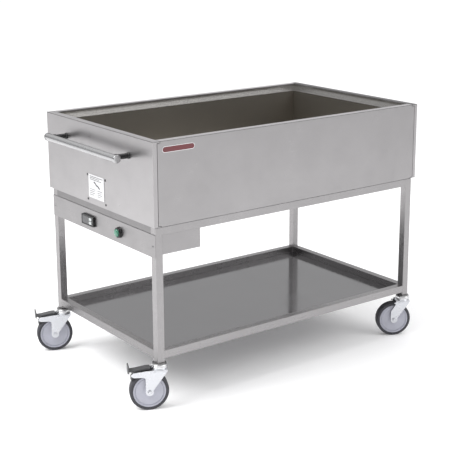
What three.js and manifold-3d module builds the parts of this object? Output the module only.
// Mobile bain-marie (steam table) trolley: a deep heated well in a folded sheet casing, carried by a
// square-tube frame with a lower shelf, a control panel and a push handle at one end, and four swivel casters.
// Millimetres. +X is the long direction, with the control and handle end at -X. -Y is the front.
// +Z is up. The pieces are placed about the middle of the casing, and moved together at the end.

import * as THREE from 'three';
import * as BufferGeometryUtils from 'three/addons/utils/BufferGeometryUtils.js';
import Module from 'manifold-3d';

const wasm = await Module();
wasm.setup();

// ---------------------------------------------------------------- driving dimensions

const LENGTH = 1110;
const WIDTH = 670;
const HEIGHT = 860;
const CASING_HEIGHT = 265;
const SHEET = 1.5;
const GAP = 0.3;
const SEAM = 1.6;

const HALF_LENGTH = LENGTH / 2;
const HALF_WIDTH = WIDTH / 2;
const CASING_BOTTOM = HEIGHT - CASING_HEIGHT;

// Casing: the end sheets wrap the corners, and the rim is folded in, then down.
const WRAP = 14.3;
const CORNER_RADIUS = 3;
const BEND_RADIUS = 2.2;
const HEM = 25;
const LIP_DROP = 4;
const BOTTOM_FLANGE = 25;

// Well: a step below the rim carries the pans, and the well hangs from its inner edge.
const STEP_INSET = HEM - SHEET - GAP;
const STEP_DEPTH = 20;
const WELL_INSET = 65;
const WELL_DEPTH = 200;
const LEDGE_Z = HEIGHT - STEP_DEPTH;
const WELL_FLOOR = LEDGE_Z - WELL_DEPTH;

// Frame: square tubes, set in from the casing's faces.
const TUBE = 25;
const TUBE_WALL = 1.5;
const FRAME_INSET = 10;
const COVER_THICKNESS = 4;
const COVER_INSET = FRAME_INSET + 3;
const RAIL_TOP = CASING_BOTTOM - COVER_THICKNESS - 2 * GAP;
const RAIL_BOTTOM = RAIL_TOP - TUBE;
const SHELF_TOP = 190.5;
const SHELF_BOTTOM = SHELF_TOP - TUBE;
const LEG_BOTTOM = 153;
const FRAME_X = HALF_LENGTH - FRAME_INSET;
const FRAME_Y = HALF_WIDTH - FRAME_INSET;
const LEG_X = FRAME_X - TUBE / 2;
const LEG_Y = FRAME_Y - TUBE / 2;
const TRAY_SHEET = 1.2;
const TRAY_RISE = 0.5;
const TRAY_GAP = 1;

// Control panel and the box behind it.
const PANEL_TOP = 568;
const PANEL_BOTTOM = 495.5;
const PANEL_MIDDLE = (PANEL_TOP + PANEL_BOTTOM) / 2;
const PANEL_BACK = -FRAME_X - GAP;
const PANEL_FACE = PANEL_BACK - SHEET;
const BOX_BOTTOM = 504;
const BOX_DEPTH = 165;
const BOX_SHEET = 1.2;
const BOX_END = -FRAME_X + BOX_DEPTH;

// Push handle.
const HANDLE_LENGTH = 450;
const HANDLE_DIAMETER = 24;
const HANDLE_STANDOFF = 57;
const HANDLE_SPACING = 394;
const HANDLE_Z = HEIGHT - 63;
const HANDLE_X = -HALF_LENGTH - HANDLE_STANDOFF;

// Casters: local +x trails behind the leg, local y is the wheel's axle.
const WHEEL_RADIUS = 62.5;
const TREAD_WIDTH = 32;
const TREAD_THICKNESS = 10;
const TRAIL = 34;
const FORK_GAP = 39;
const FORK_PLATE = 3;
const AXLE_RADIUS = 5;
const CROWN_BOTTOM = 128;
const HEAD_BOTTOM = 139.3;
const RUNNING_CLEARANCE = 0.3;
const PEDAL_PIVOT = { x: 65, z: 125 };
const CASTERS = [
  { name: 'front_left', x: -LEG_X, y: -LEG_Y, heading: 155, braked: true },
  { name: 'back_left', x: -LEG_X, y: LEG_Y, heading: 159, braked: true },
  { name: 'front_right', x: LEG_X, y: -LEG_Y, heading: 151, braked: false },
  { name: 'back_right', x: LEG_X, y: LEG_Y, heading: 155, braked: false },
];

// Drain under the well.
const DRAIN = { x: -300, y: 180 };
const DRAIN_PIPE_RADIUS = 16;
const STUB_WALL = 2.5;
const VALVE_TOP = 548;
const VALVE_BOTTOM = 508;
const VALVE_MIDDLE = (VALVE_TOP + VALVE_BOTTOM) / 2;

// Facet counts.
const ROUND = 16;
const SMALL_ROUND = 12;
const TYRE_FACETS = 24;
const BEND_STEPS = 3;

// ---------------------------------------------------------------- materials

function material(color, roughness, metalness) {
  return () => new THREE.MeshStandardMaterial({ color, roughness, metalness });
}

const casingSteel = material('#c4c4c6', 0.38, 0.9);
const wellSteel = material('#8c8781', 0.32, 0.9);
const frameSteel = material('#b4b4b5', 0.36, 0.9);
const shelfSteel = material('#8f8e90', 0.22, 0.9);
const zinc = material('#dcdee0', 0.3, 0.85);
const chrome = material('#e6e6e8', 0.12, 1);
const wheelPlastic = material('#b8bac6', 0.5, 0);
const treadRubber = material('#4a4a52', 0.75, 0);
const blackPlastic = material('#1c1c1e', 0.5, 0);
const pedalPaint = material('#55565a', 0.5, 0.2);
const greenLens = material('#3aa06c', 0.25, 0);
const keyPlastic = material('#d9dcdc', 0.45, 0);
const labelWhite = material('#f4f5f5', 0.5, 0);
const heaterMetal = material('#6b6560', 0.45, 0.9);
const brass = material('#b99a56', 0.35, 0.95);
const leverRed = material('#a8332c', 0.5, 0);

// ---------------------------------------------------------------- solids

const MERGE_TOLERANCE = 1e-4;

function signedVolume(positions, index) {
  const a = new THREE.Vector3();
  const b = new THREE.Vector3();
  const c = new THREE.Vector3();
  let volume = 0;
  for (let i = 0; i < index.length; i += 3) {
    a.fromArray(positions, 3 * index[i]);
    b.fromArray(positions, 3 * index[i + 1]);
    c.fromArray(positions, 3 * index[i + 2]);
    volume += a.dot(b.cross(c)) / 6;
  }
  return volume;
}

// A closed three.js geometry becomes a manifold solid with its faces pointing out.
function solid(geometry) {
  const bare = geometry.clone();
  bare.deleteAttribute('normal');
  bare.deleteAttribute('uv');
  const merged = BufferGeometryUtils.mergeVertices(bare, MERGE_TOLERANCE);
  const positions = merged.attributes.position.array;
  const kept = [];
  for (let i = 0; i < merged.index.count; i += 3) {
    const [a, b, c] = merged.index.array.subarray(i, i + 3);
    if (a !== b && b !== c && c !== a) kept.push(a, b, c);
  }
  const facesIn = signedVolume(positions, kept) < 0;
  const index = facesIn ? kept.reverse() : kept;
  return new wasm.Manifold(new wasm.Mesh({
    numProp: 3,
    vertProperties: Float32Array.from(positions),
    triVerts: Uint32Array.from(index),
  }));
}

function geometryOf(body) {
  const { vertProperties, triVerts } = body.getMesh();
  const geometry = new THREE.BufferGeometry();
  geometry.setAttribute('position', new THREE.BufferAttribute(vertProperties, 3));
  geometry.setIndex(new THREE.BufferAttribute(triVerts, 1));
  geometry.computeVertexNormals();
  return geometry;
}

function join(...bodies) {
  return bodies.reduce((sum, body) => sum.add(body));
}

function cut(body, ...tools) {
  return tools.reduce((rest, tool) => rest.subtract(tool), body);
}

// A box from its lowest to its highest corner.
function block([x0, y0, z0], [x1, y1, z1]) {
  const geometry = new THREE.BoxGeometry(x1 - x0, y1 - y0, z1 - z0);
  geometry.translate((x0 + x1) / 2, (y0 + y1) / 2, (z0 + z1) / 2);
  return solid(geometry);
}

// A box centred on the Z axis.
function centredBlock(halfX, halfY, z0, z1) {
  return block([-halfX, -halfY, z0], [halfX, halfY, z1]);
}

const ALONG = {
  x: new THREE.Matrix4().makeBasis(
    new THREE.Vector3(0, 1, 0), new THREE.Vector3(0, 0, 1), new THREE.Vector3(1, 0, 0)),
  y: new THREE.Matrix4().makeBasis(
    new THREE.Vector3(-1, 0, 0), new THREE.Vector3(0, 0, 1), new THREE.Vector3(0, 1, 0)),
  z: new THREE.Matrix4(),
};

// An outline drawn in the plane across an axis, extruded along that axis from one place to another.
// Across x the outline is (y, z), across y it is (-x, z), and across z it is (x, y).
function prism(outline, axis, from, to, curveSegments = BEND_STEPS) {
  const geometry = new THREE.ExtrudeGeometry(outline, { depth: to - from, bevelEnabled: false, curveSegments });
  geometry.translate(0, 0, from);
  geometry.applyMatrix4(ALONG[axis]);
  return solid(geometry);
}

// A round solid about an axis. Its profile is [radius, place along the axis] from end to end.
function turned(profile, axis, centre, facets = ROUND, phase = 0) {
  const points = profile.map(([radius, along]) => new THREE.Vector2(radius, along));
  const geometry = new THREE.LatheGeometry(points, facets, phase);
  if (axis === 'z') geometry.rotateX(Math.PI / 2);
  if (axis === 'x') geometry.rotateZ(-Math.PI / 2);
  geometry.translate(...centre);
  return solid(geometry);
}

function rod(radius, axis, from, to, centre, facets = ROUND) {
  return turned([[0, from], [radius, from], [radius, to], [0, to]], axis, centre, facets);
}

function roundedRectangle(x0, y0, x1, y1, radius) {
  const shape = new THREE.Shape();
  shape.moveTo(x0 + radius, y0);
  shape.lineTo(x1 - radius, y0);
  shape.absarc(x1 - radius, y0 + radius, radius, -Math.PI / 2, 0);
  shape.lineTo(x1, y1 - radius);
  shape.absarc(x1 - radius, y1 - radius, radius, 0, Math.PI / 2);
  shape.lineTo(x0 + radius, y1);
  shape.absarc(x0 + radius, y1 - radius, radius, Math.PI / 2, Math.PI);
  shape.lineTo(x0, y0 + radius);
  shape.absarc(x0 + radius, y0 + radius, radius, Math.PI, 1.5 * Math.PI);
  return shape;
}

// A rectangle whose two upper corners are rounded.
function archedRectangle(half, bottom, top, radius) {
  const shape = new THREE.Shape();
  shape.moveTo(-half, bottom);
  shape.lineTo(half, bottom);
  shape.lineTo(half, top - radius);
  shape.absarc(half - radius, top - radius, radius, 0, Math.PI / 2);
  shape.lineTo(-half + radius, top);
  shape.absarc(-half + radius, top - radius, radius, Math.PI / 2, Math.PI);
  return shape;
}

// ---------------------------------------------------------------- casing

// The casing's outer block, or its inside when inset by the sheet's thickness.
function casingBlock(inset) {
  const halfX = HALF_LENGTH - inset;
  const halfY = HALF_WIDTH - inset;
  const bottom = CASING_BOTTOM + inset;
  const top = HEIGHT - inset;
  const corner = CORNER_RADIUS - inset;
  const bend = BEND_RADIUS - inset;
  const plan = prism(roundedRectangle(-halfX, -halfY, halfX, halfY, corner), 'z', bottom, top);
  const side = prism(archedRectangle(halfX, bottom - 1, top, bend), 'y', -halfY - 1, halfY + 1);
  const end = prism(archedRectangle(halfY, bottom - 1, top, bend), 'x', -halfX - 1, halfX + 1);
  return plan.intersect(side).intersect(end);
}

// The folded skin of all four sides: walls, rim with its turned-down lip, and the flange below.
function casingSkin() {
  const rimOpening = centredBlock(HALF_LENGTH - HEM, HALF_WIDTH - HEM, HEIGHT - 2 * LIP_DROP, HEIGHT + 1);
  const floorOpening = centredBlock(
    HALF_LENGTH - BOTTOM_FLANGE, HALF_WIDTH - BOTTOM_FLANGE, CASING_BOTTOM - 1, CASING_BOTTOM + SHEET + 1);
  const lipOuter = HEM - SHEET;
  const lip = cut(
    centredBlock(HALF_LENGTH - lipOuter, HALF_WIDTH - lipOuter, HEIGHT - LIP_DROP, HEIGHT - SHEET / 2),
    rimOpening);
  return join(cut(casingBlock(0), casingBlock(SHEET), rimOpening, floorOpening), lip);
}

// The space that one end sheet takes: the end wall, its two returns, and its full-width rim and flange.
function endRegion(side, clearance) {
  const foldTop = HEIGHT - LIP_DROP - SHEET / 2 - clearance;
  const foldBottom = CASING_BOTTOM + SHEET + SHEET / 2 + clearance;
  const outside = HALF_LENGTH + 1;
  const across = HALF_WIDTH + 1;
  const slab = (depth, z0, z1) => {
    const inner = HALF_LENGTH - depth - clearance;
    const [x0, x1] = side < 0 ? [-outside, -inner] : [inner, outside];
    return block([x0, -across, z0], [x1, across, z1]);
  };
  return join(
    slab(WRAP, CASING_BOTTOM - 1, HEIGHT + 1),
    slab(HEM, foldTop, HEIGHT + 1),
    slab(BOTTOM_FLANGE, CASING_BOTTOM - 1, foldBottom));
}

function casingEnd(skin, side) {
  return skin.intersect(endRegion(side, 0));
}

function casingSide(skin, side) {
  const middle = cut(skin, endRegion(-1, SEAM), endRegion(1, SEAM));
  const [y0, y1] = side < 0 ? [-HALF_WIDTH - 1, 0] : [0, HALF_WIDTH + 1];
  return middle.intersect(block([-HALF_LENGTH, y0, 0], [HALF_LENGTH, y1, HEIGHT + 1]));
}

// ---------------------------------------------------------------- well

// A box that keeps the same distance from all four sides of the casing.
function wellBlock(inset, z0, z1) {
  return centredBlock(HALF_LENGTH - inset, HALF_WIDTH - inset, z0, z1);
}

// The step under the rim: a short wall behind the turned-down lip, and the ledge that carries the pans.
function wellStep() {
  const top = HEIGHT - SHEET - GAP;
  return cut(
    wellBlock(STEP_INSET - SHEET, LEDGE_Z - SHEET, top),
    wellBlock(STEP_INSET, LEDGE_Z, HEIGHT),
    wellBlock(WELL_INSET, WELL_FLOOR, HEIGHT));
}

// The band of four walls that hangs below the step.
function wellWalls() {
  const bottom = WELL_FLOOR - SHEET;
  return cut(
    wellBlock(WELL_INSET - SHEET, bottom, LEDGE_Z - SHEET - GAP),
    wellBlock(WELL_INSET, bottom - 1, HEIGHT));
}

// The floor sheet between the walls, with the drain's stub pipe welded to it.
function wellFloor() {
  const centre = [DRAIN.x, DRAIN.y, 0];
  const sheet = wellBlock(WELL_INSET + GAP, WELL_FLOOR - SHEET, WELL_FLOOR);
  const stub = rod(DRAIN_PIPE_RADIUS, 'z', VALVE_TOP + GAP, WELL_FLOOR - SHEET / 2, centre);
  const bore = rod(DRAIN_PIPE_RADIUS - STUB_WALL, 'z', VALVE_TOP - 1, WELL_FLOOR + 1, centre);
  return cut(join(sheet, stub), bore);
}

// A serpentine tubular heater clipped under the well's floor, with both cold ends at the control end.
function heatingElement() {
  const radius = 4.2;
  const z = WELL_FLOOR - SHEET - GAP - radius;
  const runEnd = 400;
  const turnRadius = 55;
  const runs = [-190, -80, 30, 140];
  const path = new THREE.CurvePath();
  runs.forEach((y, i) => {
    const outward = i % 2 === 0;
    const from = new THREE.Vector3(outward ? -runEnd : runEnd, y, z);
    const to = new THREE.Vector3(outward ? runEnd : -runEnd, y, z);
    if (i === 0) from.x = -runEnd - 60;
    if (i === runs.length - 1) to.x = -runEnd - 60;
    path.add(new THREE.LineCurve3(from, to));
    if (i < runs.length - 1) path.add(halfTurn(to, turnRadius, outward ? 1 : -1));
  });
  const section = new THREE.Shape().absarc(0, 0, radius, 0, 2 * Math.PI);
  return sweep(section, path, 2, 44);
}

// Half a circle from a point to the next run, bulging in +x or -x.
function halfTurn(from, radius, bulge) {
  const points = [];
  for (let step = 0; step <= 8; step += 1) {
    const angle = -Math.PI / 2 + (Math.PI * step) / 8;
    const x = from.x + bulge * radius * Math.cos(angle);
    const y = from.y + radius + radius * Math.sin(angle);
    points.push(new THREE.Vector3(x, y, from.z));
  }
  return new THREE.CatmullRomCurve3(points);
}

function sweep(section, path, curveSegments, steps) {
  const geometry = new THREE.ExtrudeGeometry(section, { extrudePath: path, steps, curveSegments });
  return solid(geometry);
}

// The sheet that closes the casing from below.
function bottomCover() {
  const z0 = RAIL_TOP + GAP;
  const z1 = z0 + COVER_THICKNESS;
  const sheet = centredBlock(HALF_LENGTH - COVER_INSET, HALF_WIDTH - COVER_INSET, z0, z1);
  const hollow = centredBlock(
    HALF_LENGTH - COVER_INSET - TUBE, HALF_WIDTH - COVER_INSET - TUBE, z0 + SHEET, z1 + 1);
  const pipeHole = rod(DRAIN_PIPE_RADIUS + 3, 'z', z0 - 5, z1 + 5, [DRAIN.x, DRAIN.y, 0]);
  const wireHole = rod(12, 'z', z0 - 5, z1 + 5, [BOX_END - 60, 0, 0], SMALL_ROUND);
  return cut(sheet, hollow, pipeHole, wireHole);
}

// ---------------------------------------------------------------- drain

function drainValveBody() {
  const bore = 11;
  const body = turned([
    [bore, VALVE_BOTTOM - 16], [15, VALVE_BOTTOM - 16], [15, VALVE_BOTTOM], [20, VALVE_BOTTOM + 3],
    [22, VALVE_MIDDLE - 6], [22, VALVE_MIDDLE + 6], [20, VALVE_TOP - 3], [20, VALVE_TOP],
    [bore, VALVE_TOP], [bore, VALVE_BOTTOM - 16],
  ], 'z', [DRAIN.x, DRAIN.y, 0]);
  const boss = rod(8, 'y', 18, 30, [DRAIN.x, DRAIN.y, VALVE_MIDDLE], SMALL_ROUND);
  const spindle = rod(3, 'y', 29, 37, [DRAIN.x, DRAIN.y, VALVE_MIDDLE], SMALL_ROUND);
  return join(body, boss, spindle);
}

// The lever is turned by a quarter from closed, across the pipe, to open, along it.
function drainLever() {
  const y0 = DRAIN.y + 30 + GAP;
  const thickness = 4;
  const centre = [DRAIN.x, DRAIN.y, VALVE_MIDDLE];
  const hub = rod(11, 'y', y0 - DRAIN.y, y0 - DRAIN.y + thickness, centre);
  const arm = block(
    [DRAIN.x, y0, VALVE_MIDDLE - 7], [DRAIN.x + 92, y0 + thickness, VALVE_MIDDLE + 7]);
  const grip = rod(7, 'y', y0 - DRAIN.y, y0 - DRAIN.y + thickness + 6, [DRAIN.x + 92, DRAIN.y, VALVE_MIDDLE]);
  const spindleHole = rod(3 + RUNNING_CLEARANCE, 'y', 0, 60, centre, SMALL_ROUND);
  return cut(join(hub, arm, grip), spindleHole);
}

// ---------------------------------------------------------------- frame

// A square tube between two places on one axis, centred on the other two.
function squareTube(axis, from, to, centreA, centreB) {
  const half = TUBE / 2;
  const bore = half - TUBE_WALL;
  const span = (reach, extra) => {
    const low = { x: centreA - reach, y: centreB - reach, z: centreB - reach };
    const high = { x: centreA + reach, y: centreB + reach, z: centreB + reach };
    if (axis === 'x') low.y = centreA - reach;
    if (axis === 'x') high.y = centreA + reach;
    low[axis] = from - extra;
    high[axis] = to + extra;
    return block([low.x, low.y, low.z], [high.x, high.y, high.z]);
  };
  return cut(span(half, 0), span(bore, 1));
}

function leg(x, y) {
  return squareTube('z', LEG_BOTTOM, RAIL_TOP, x, y);
}

function longRail(y, middleZ) {
  const reach = FRAME_X - TUBE - GAP;
  return squareTube('x', -reach, reach, y, middleZ);
}

function crossRail(x, middleZ) {
  const reach = FRAME_Y - TUBE - GAP;
  return squareTube('y', -reach, reach, x, middleZ);
}

// The flat sheet welded in low between the shelf's rails, just above their undersides.
function shelfTray() {
  const bottom = SHELF_BOTTOM + TRAY_RISE;
  return centredBlock(
    FRAME_X - TUBE - TRAY_GAP, FRAME_Y - TUBE - TRAY_GAP, bottom, bottom + TRAY_SHEET);
}

// ---------------------------------------------------------------- control panel and its devices

const CONTROLLER = { y: 76.5, z: PANEL_MIDDLE - 1, width: 77, height: 35, proud: 8, depth: 55 };
const KEY = { y: 57, rise: 6.2, width: 16, height: 9.4, proud: 0.8, thickness: 3, travel: 1 };
const BUTTON = { y: -116, z: PANEL_MIDDLE, radius: 18, proud: 10, capRadius: 12.7, capProud: 15.5 };
const BARREL_RADIUS = 11;
const CUTOUT = { width: 71, height: 29 };

function controlPanel() {
  const sheet = block([PANEL_FACE, -FRAME_Y, PANEL_BOTTOM], [PANEL_BACK, FRAME_Y, PANEL_TOP]);
  const window = block(
    [PANEL_FACE - 5, CONTROLLER.y - CUTOUT.width / 2, CONTROLLER.z - CUTOUT.height / 2],
    [PANEL_BACK + 5, CONTROLLER.y + CUTOUT.width / 2, CONTROLLER.z + CUTOUT.height / 2]);
  const barrelHole = rod(BARREL_RADIUS + GAP, 'x', PANEL_FACE - 5, PANEL_BACK + 5, [0, BUTTON.y, BUTTON.z]);
  return cut(sheet, window, barrelHole);
}

// A folded box, open to the panel and to the casing above it.
function controlBox() {
  const top = RAIL_BOTTOM - GAP;
  const betweenLegs = FRAME_Y - TUBE - GAP;
  const pastLegs = -FRAME_X + TUBE + GAP;
  const outer = join(
    block([-FRAME_X, -betweenLegs, BOX_BOTTOM], [pastLegs + 1, betweenLegs, top]),
    block([pastLegs, -FRAME_Y, BOX_BOTTOM], [BOX_END, FRAME_Y, top]));
  const floor = BOX_BOTTOM + BOX_SHEET;
  const inner = join(
    block([-FRAME_X - 1, -betweenLegs + BOX_SHEET, floor], [pastLegs + 2, betweenLegs - BOX_SHEET, top + 1]),
    block(
      [pastLegs + BOX_SHEET, -FRAME_Y + BOX_SHEET, floor],
      [BOX_END - BOX_SHEET, FRAME_Y - BOX_SHEET, top + 1]));
  const glandHole = rod(10 + GAP, 'x', BOX_END - 5, BOX_END + 5, [0, GLAND.y, GLAND.z]);
  return cut(outer, inner, glandHole);
}

function controllerCase() {
  const { y, z, width, height, proud, depth } = CONTROLLER;
  const face = PANEL_FACE - GAP - proud;
  const bezel = prism(
    roundedRectangle(y - width / 2, z - height / 2, y + width / 2, z + height / 2, 3),
    'x', face, PANEL_FACE - GAP);
  const body = block(
    [PANEL_FACE - GAP - 1, y - CUTOUT.width / 2 + GAP, z - CUTOUT.height / 2 + GAP],
    [PANEL_BACK + depth, y + CUTOUT.width / 2 - GAP, z + CUTOUT.height / 2 - GAP]);
  const keyWells = [-1, 1].map((side) => keyBlock(side, face - 1, face + KEY.thickness + KEY.travel, GAP));
  return cut(join(bezel, body), ...keyWells);
}

function keyBlock(side, x0, x1, margin) {
  const z = CONTROLLER.z + side * KEY.rise;
  const halfY = KEY.width / 2 + margin;
  const halfZ = KEY.height / 2 + margin;
  return block([x0, KEY.y - halfY, z - halfZ], [x1, KEY.y + halfY, z + halfZ]);
}

function controllerKey(side) {
  const face = PANEL_FACE - GAP - CONTROLLER.proud;
  return keyBlock(side, face - KEY.proud, face - KEY.proud + KEY.thickness, 0);
}

function buttonBezel() {
  const face = PANEL_FACE - GAP;
  const front = face - BUTTON.proud;
  return turned([
    [0, -500], [BARREL_RADIUS, -500], [BARREL_RADIUS, face], [BUTTON.radius, face],
    [BUTTON.radius, face - 4], [BUTTON.radius - 3, front], [BUTTON.capRadius + GAP, front],
    [BUTTON.capRadius + GAP, face - 1], [0, face - 1],
  ], 'x', [0, BUTTON.y, BUTTON.z]);
}

function buttonCap() {
  const front = PANEL_FACE - GAP - BUTTON.capProud;
  const { capRadius } = BUTTON;
  return turned([
    [0, front], [capRadius * 0.6, front + 0.6], [capRadius - 1, front + 2.4],
    [capRadius, front + 4], [capRadius, front + 11], [0, front + 11],
  ], 'x', [0, BUTTON.y, BUTTON.z]);
}

const GLAND = { y: 210, z: 535 };

// The mains lead's gland, in the wall of the box that faces along the trolley.
function cableGland() {
  const wall = BOX_END;
  return turned([
    [5, wall - 12], [10, wall - 12], [10, wall + GAP], [14, wall + GAP], [14, wall + 7],
    [12.5, wall + 8], [12.5, wall + 20], [8, wall + 26], [5, wall + 26], [5, wall - 12],
  ], 'x', [0, GLAND.y, GLAND.z]);
}

// ---------------------------------------------------------------- handle and rating plate

const CAP_LENGTH = 5;
const CAP_RADIUS = 13.3;

function handleTube() {
  const reach = HANDLE_LENGTH / 2 - CAP_LENGTH - GAP;
  const radius = HANDLE_DIAMETER / 2;
  const bore = radius - 2;
  return turned(
    [[bore, -reach], [radius, -reach], [radius, reach], [bore, reach], [bore, -reach]],
    'y', [HANDLE_X, 0, HANDLE_Z]);
}

function handleCap(side) {
  const outer = (side * HANDLE_LENGTH) / 2;
  const seat = outer - side * CAP_LENGTH;
  const plug = seat - side * 16;
  const plugRadius = HANDLE_DIAMETER / 2 - 2 - GAP;
  const profile = [
    [0, plug], [plugRadius, plug], [plugRadius, seat], [CAP_RADIUS, seat],
    [CAP_RADIUS, outer - side * 1.6], [CAP_RADIUS - 1.6, outer], [0, outer],
  ];
  return turned(profile, 'y', [HANDLE_X, 0, HANDLE_Z]);
}

function handleStandoff(side) {
  const y = (side * HANDLE_SPACING) / 2;
  const wall = -HALF_LENGTH - GAP;
  const profile = [
    [0, HANDLE_X], [7, HANDLE_X], [7, wall - 9], [9.5, wall - 6], [10.5, wall - 4], [10.5, wall], [0, wall],
  ];
  const post = turned(profile, 'x', [0, y, HANDLE_Z], SMALL_ROUND);
  const reach = 20;
  const saddle = rod(HANDLE_DIAMETER / 2 + GAP, 'y', y - reach, y + reach, [HANDLE_X, 0, HANDLE_Z]);
  const beyond = block([HANDLE_X - 30, y - reach, HANDLE_Z - 20], [HANDLE_X + 6, y + reach, HANDLE_Z + 20]);
  return cut(post, saddle, beyond);
}

const PLATE = { y: 7, z: 655.5, width: 98, height: 78, thickness: 0.8 };

function ratingPlate() {
  const { y, z, width, height, thickness } = PLATE;
  const x1 = -HALF_LENGTH - GAP;
  return block([x1 - thickness, y - width / 2, z - height / 2], [x1, y + width / 2, z + height / 2]);
}

// ---------------------------------------------------------------- casters, in the caster's own frame

// The fixed head: the stem in the leg, the dust cover, the upper race and the king pin through the crown.
function casterHead() {
  return turned([
    [0, 196], [10, 196], [10, LEG_BOTTOM - GAP], [23.5, LEG_BOTTOM - GAP], [23.5, LEG_BOTTOM - 3],
    [26, LEG_BOTTOM - 6], [26, HEAD_BOTTOM], [6, HEAD_BOTTOM], [6, CROWN_BOTTOM - GAP],
    [10, CROWN_BOTTOM - GAP], [9, CROWN_BOTTOM - 4.5], [0, CROWN_BOTTOM - 4.5],
  ], 'z', [0, 0, 0]);
}

// One side plate's outline in the plane of the wheel, as (-x, z).
function forkOutline(braked) {
  const front = 23;
  const endRadius = 13;
  const top = CROWN_BOTTOM + 6;
  const axle = WHEEL_RADIUS;
  const shape = new THREE.Shape();
  shape.moveTo(front, top);
  shape.lineTo(front, CROWN_BOTTOM - 2);
  shape.lineTo(-TRAIL + endRadius * Math.cos(0.35), axle + endRadius * Math.sin(0.35));
  shape.absarc(-TRAIL, axle, endRadius, 0.35, -Math.PI, true);
  if (braked) {
    shape.lineTo(-TRAIL - endRadius, 104);
    shape.absarc(-TRAIL - endRadius - 8, 104, 8, 0, Math.PI / 2, false);
    shape.lineTo(-PEDAL_PIVOT.x - 18, 114);
    shape.lineTo(-PEDAL_PIVOT.x - 24, 122);
    shape.lineTo(-PEDAL_PIVOT.x - 16, 130);
    shape.lineTo(-40, top);
  } else {
    shape.lineTo(-TRAIL - endRadius, 96);
    shape.lineTo(-31, 118);
    shape.lineTo(-27, top);
  }
  return shape;
}

// The swivelling fork: crown and lower race, two side plates, and on a braked one the pedal's pivot pin.
function casterFork(braked) {
  const inner = FORK_GAP / 2;
  const outer = inner + FORK_PLATE;
  const outline = forkOutline(braked);
  const plates = [-1, 1].map((side) => prism(
    outline, 'y', side < 0 ? -outer : inner, side < 0 ? -inner : outer));
  const crown = turned([
    [0, CROWN_BOTTOM], [26, CROWN_BOTTOM], [26, CROWN_BOTTOM + 7], [22, HEAD_BOTTOM - GAP],
    [0, HEAD_BOTTOM - GAP],
  ], 'z', [0, 0, 0]);
  const bridge = block([-20, -outer, CROWN_BOTTOM], [26, outer, CROWN_BOTTOM + 4]);
  const axleBore = rod(AXLE_RADIUS + GAP, 'y', -outer - 1, outer + 1, [TRAIL, 0, WHEEL_RADIUS], SMALL_ROUND);
  const kingPinBore = rod(6 + RUNNING_CLEARANCE, 'z', 100, 160, [0, 0, 0]);
  const fork = cut(join(crown, bridge, ...plates), axleBore, kingPinBore);
  if (!braked) return fork;
  return join(fork, rod(3, 'y', -outer, outer, [PEDAL_PIVOT.x, 0, PEDAL_PIVOT.z], SMALL_ROUND));
}

function casterWheel() {
  const hub = FORK_GAP / 2 - GAP;
  const rim = TREAD_WIDTH / 2 - 0.5;
  const web = rim - 2.5;
  const radius = WHEEL_RADIUS - TREAD_THICKNESS;
  const bore = AXLE_RADIUS + RUNNING_CLEARANCE;
  return turned([
    [bore, -hub], [14, -hub], [16, -web], [radius - 5, -web], [radius - 2, -rim], [radius - 2, rim],
    [radius - 5, web], [16, web], [14, hub], [bore, hub], [bore, -hub],
  ], 'y', [TRAIL, 0, WHEEL_RADIUS], TYRE_FACETS, Math.PI / TYRE_FACETS);
}

// The tread stands on a flat facet, so its corners lie a little outside the nominal radius.
function casterTyre() {
  const half = TREAD_WIDTH / 2;
  const outer = WHEEL_RADIUS / Math.cos(Math.PI / TYRE_FACETS);
  const inner = WHEEL_RADIUS - TREAD_THICKNESS;
  return turned([
    [inner, -half], [outer - 3, -half], [outer, -half + 6], [outer, half - 6], [outer - 3, half],
    [inner, half], [inner, -half],
  ], 'y', [TRAIL, 0, WHEEL_RADIUS], TYRE_FACETS, Math.PI / TYRE_FACETS);
}

function casterAxle() {
  const seat = FORK_GAP / 2 + FORK_PLATE + GAP;
  const end = seat + 6;
  const radius = AXLE_RADIUS;
  return turned([
    [0, -end], [7, -end], [8, -end + 1.4], [8, -seat], [radius, -seat],
    [radius, seat], [8, seat], [8, end - 1.4], [7, end], [0, end],
  ], 'y', [TRAIL, 0, WHEEL_RADIUS], SMALL_ROUND);
}

// The brake pedal: an arm over the wheel, a tread plate at its tip and the shoe that grips the tyre.
function brakePedal() {
  const halfWidth = FORK_GAP / 2 - 2;
  const { x, z } = PEDAL_PIVOT;
  const arm = new THREE.Shape([
    [-30, 133], [-x - 12, 130.5], [-99, 130], [-99, 134], [-x - 12, 136], [-46, 141.5], [-30, 141.5],
  ].map(([u, v]) => new THREE.Vector2(u, v)));
  const armPlate = prism(arm, 'y', -halfWidth + 4, halfWidth - 4);
  const boss = rod(5.5, 'y', -halfWidth, halfWidth, [x, 0, z], SMALL_ROUND);
  const web = block([x - 5, -halfWidth + 4, z], [x + 5, halfWidth - 4, 134]);
  const shoe = new THREE.Shape([
    [-x - 3, 118], [-x - 3, 129], [-x - 14, 131], [-x - 26, 112], [-x - 26, 99],
  ].map(([u, v]) => new THREE.Vector2(u, v)));
  const shoeBlock = prism(shoe, 'y', -halfWidth + 6, halfWidth - 6);
  const tyreRoom = rod(
    WHEEL_RADIUS + 5.5, 'y', -halfWidth, halfWidth, [TRAIL, 0, WHEEL_RADIUS], TYRE_FACETS * 2);
  const tip = block([97, -20, 124], [101, 20, 152]);
  const pinHole = rod(3 + RUNNING_CLEARANCE, 'y', -halfWidth - 1, halfWidth + 1, [x, 0, z], SMALL_ROUND);
  return cut(join(armPlate, boss, web, cut(shoeBlock, tyreRoom), tip), pinHole);
}

// ---------------------------------------------------------------- assembly

const trolley = new THREE.Group();

function add(name, body, makeMaterial, parent = trolley) {
  const mesh = new THREE.Mesh(geometryOf(body), makeMaterial());
  mesh.name = name;
  parent.add(mesh);
}

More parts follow.
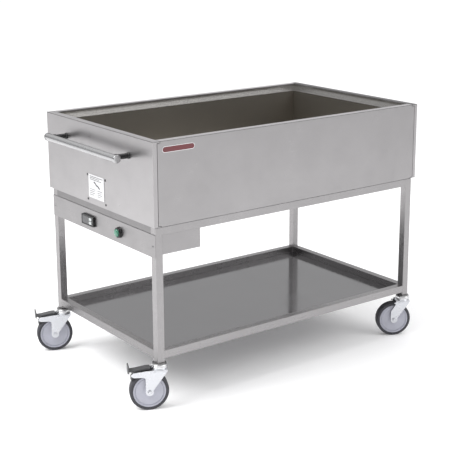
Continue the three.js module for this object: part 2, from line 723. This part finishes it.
const skin = casingSkin();
add('casing_end_left', casingEnd(skin, -1), casingSteel);
add('casing_end_right', casingEnd(skin, 1), casingSteel);
add('casing_front', casingSide(skin, -1), casingSteel);
add('casing_back', casingSide(skin, 1), casingSteel);
add('bottom_cover', bottomCover(), casingSteel);

add('well_step', wellStep(), wellSteel);
add('well_walls', wellWalls(), wellSteel);
add('well_floor', wellFloor(), wellSteel);
add('heating_element', heatingElement(), heaterMetal);
add('drain_valve_body', drainValveBody(), brass);
add('drain_lever', drainLever(), leverRed);

for (const caster of CASTERS) add(`leg_${caster.name}`, leg(caster.x, caster.y), frameSteel);
for (const [level, top] of [['top', RAIL_TOP], ['shelf', SHELF_TOP]]) {
  const middle = top - TUBE / 2;
  add(`${level}_rail_front`, longRail(-LEG_Y, middle), frameSteel);
  add(`${level}_rail_back`, longRail(LEG_Y, middle), frameSteel);
  add(`${level}_rail_left`, crossRail(-LEG_X, middle), frameSteel);
  add(`${level}_rail_right`, crossRail(LEG_X, middle), frameSteel);
}
add('shelf_tray', shelfTray(), shelfSteel);

add('control_panel', controlPanel(), casingSteel);
add('control_box', controlBox(), casingSteel);
add('controller_case', controllerCase(), blackPlastic);
add('controller_key_upper', controllerKey(1), keyPlastic);
add('controller_key_lower', controllerKey(-1), keyPlastic);
add('button_bezel', buttonBezel(), blackPlastic);
add('button_cap', buttonCap(), greenLens);
add('cable_gland', cableGland(), blackPlastic);

add('handle_tube', handleTube(), chrome);
for (const [name, side] of [['front', -1], ['back', 1]]) {
  add(`handle_cap_${name}`, handleCap(side), chrome);
  add(`handle_standoff_${name}`, handleStandoff(side), blackPlastic);
}
add('rating_plate', ratingPlate(), labelWhite);

for (const { name, x, y, heading, braked } of CASTERS) {
  const caster = new THREE.Group();
  caster.position.set(x, y, 0);
  caster.rotation.z = THREE.MathUtils.degToRad(heading);
  trolley.add(caster);
  add(`caster_head_${name}`, casterHead(), chrome, caster);
  add(`caster_fork_${name}`, casterFork(braked), zinc, caster);
  add(`caster_wheel_${name}`, casterWheel(), wheelPlastic, caster);
  add(`caster_tyre_${name}`, casterTyre(), treadRubber, caster);
  add(`caster_axle_${name}`, casterAxle(), zinc, caster);
  if (braked) add(`brake_pedal_${name}`, brakePedal(), pedalPaint, caster);
}

// The origin goes on the floor, under the middle of the whole trolley with its handle and casters.
const bounds = new THREE.Box3().setFromObject(trolley);
const middle = bounds.getCenter(new THREE.Vector3());
trolley.position.set(-middle.x, -middle.y, -bounds.min.z);

const part = new THREE.Group();
part.add(trolley);

export default part;
